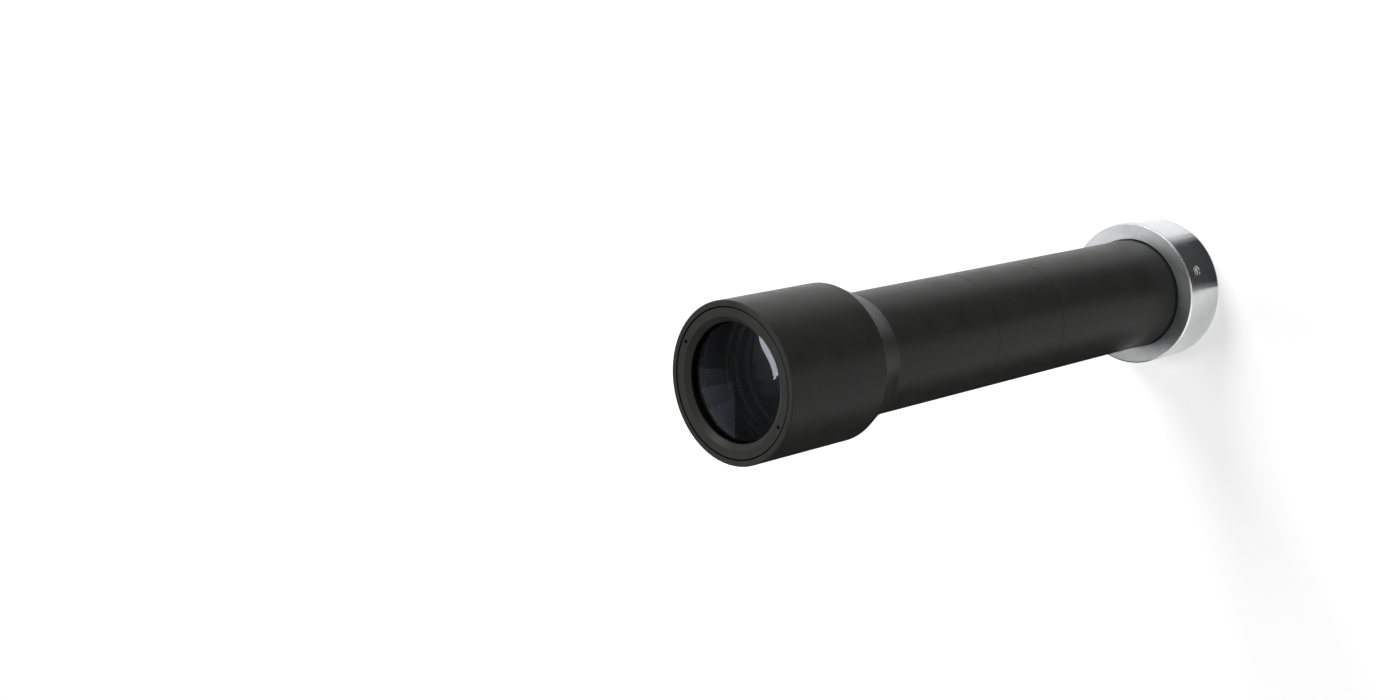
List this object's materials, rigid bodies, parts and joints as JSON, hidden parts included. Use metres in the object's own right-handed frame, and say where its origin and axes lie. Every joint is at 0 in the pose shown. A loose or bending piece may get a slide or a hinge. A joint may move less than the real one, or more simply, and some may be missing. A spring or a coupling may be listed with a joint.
{
  "type": "telecentric lens",
  "caption": "Long machine vision lens with a wide glass head, a black tubular body and a bare clamped camera mount ring, standing on its camera end.",
  "frame": {"origin": "centre of the flat camera face of the mount ring, on the optical axis", "axes": "+Z along the optical axis from the camera end to the front glass; the set screw that the picture shows points 74.7 degrees from +X towards -Y"},
  "size_m": [0.0624, 0.0624, 0.275],
  "materials": {
    "black_anodised_aluminium": "matt black anodised",
    "bare_aluminium": "fine turned, bare",
    "screw_steel": "plain stainless",
    "crown_glass": "polished, coated against reflections",
    "flint_glass": "polished, coated against reflections"
  },
  "bodies": {
    "root": {"front_barrel": "black_anodised_aluminium", "front_retaining_ring": "black_anodised_aluminium", "front_crown_element": "crown_glass", "front_flint_element": "flint_glass", "front_spacer_ring": "black_anodised_aluminium", "front_meniscus_element": "crown_glass", "head_baffle": "black_anodised_aluminium", "joint_baffle": "black_anodised_aluminium", "middle_tube": "black_anodised_aluminium", "aperture_stop": "black_anodised_aluminium", "rear_tube": "black_anodised_aluminium", "cell_lock_ring": "black_anodised_aluminium", "rear_cell": "black_anodised_aluminium", "rear_crown_element": "crown_glass", "rear_flint_element": "flint_glass", "rear_spacer_ring": "black_anodised_aluminium", "rear_field_element": "crown_glass", "rear_element_ring": "black_anodised_aluminium", "mount_ring": "bare_aluminium", "mount_set_screw_1": "screw_steel", "mount_set_screw_2": "screw_steel", "mount_set_screw_3": "screw_steel"}
  },
  "joints": []
}
